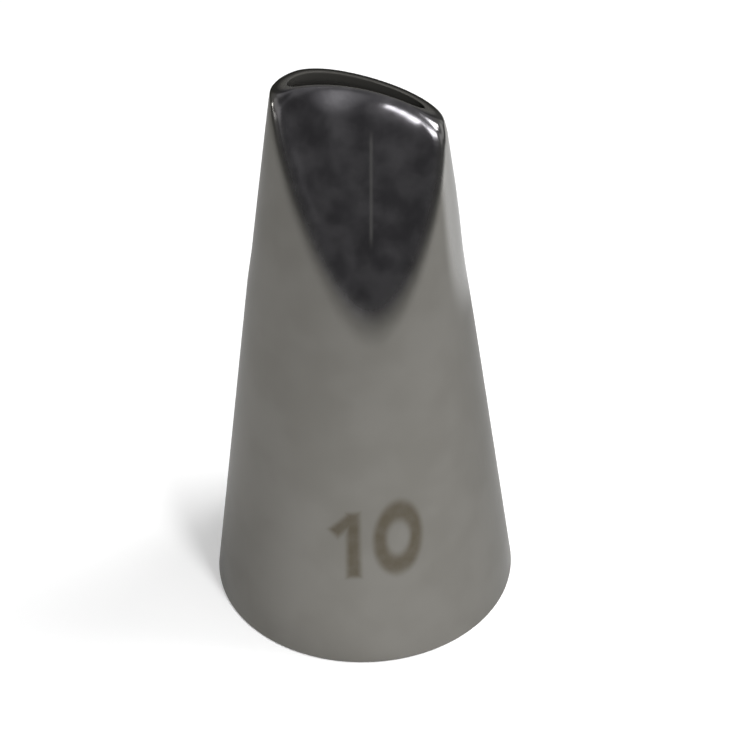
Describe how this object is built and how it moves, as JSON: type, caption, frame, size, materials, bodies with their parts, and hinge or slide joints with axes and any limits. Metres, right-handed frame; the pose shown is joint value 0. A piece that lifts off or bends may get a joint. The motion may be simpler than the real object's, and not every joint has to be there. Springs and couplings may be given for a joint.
{
  "type": "piping nozzle",
  "caption": "Thin-walled conical steel piping nozzle, open at both ends, its tip dented at the front and pressed to a curved petal opening.",
  "frame": {"origin": "centre of the round base rim, on the plane that the nozzle stands on", "axes": "+Z along the round cone's axis, from the base to the tip; -Y is the front, with the dent and the stamped number; +X is the low, narrow side of the opening"},
  "size_m": [0.018, 0.018, 0.0342],
  "materials": {
    "steel": "satin outside, burnished by the punch in the dent and on the lip"
  },
  "bodies": {
    "root": {"nozzle_shell": "steel"}
  },
  "joints": []
}
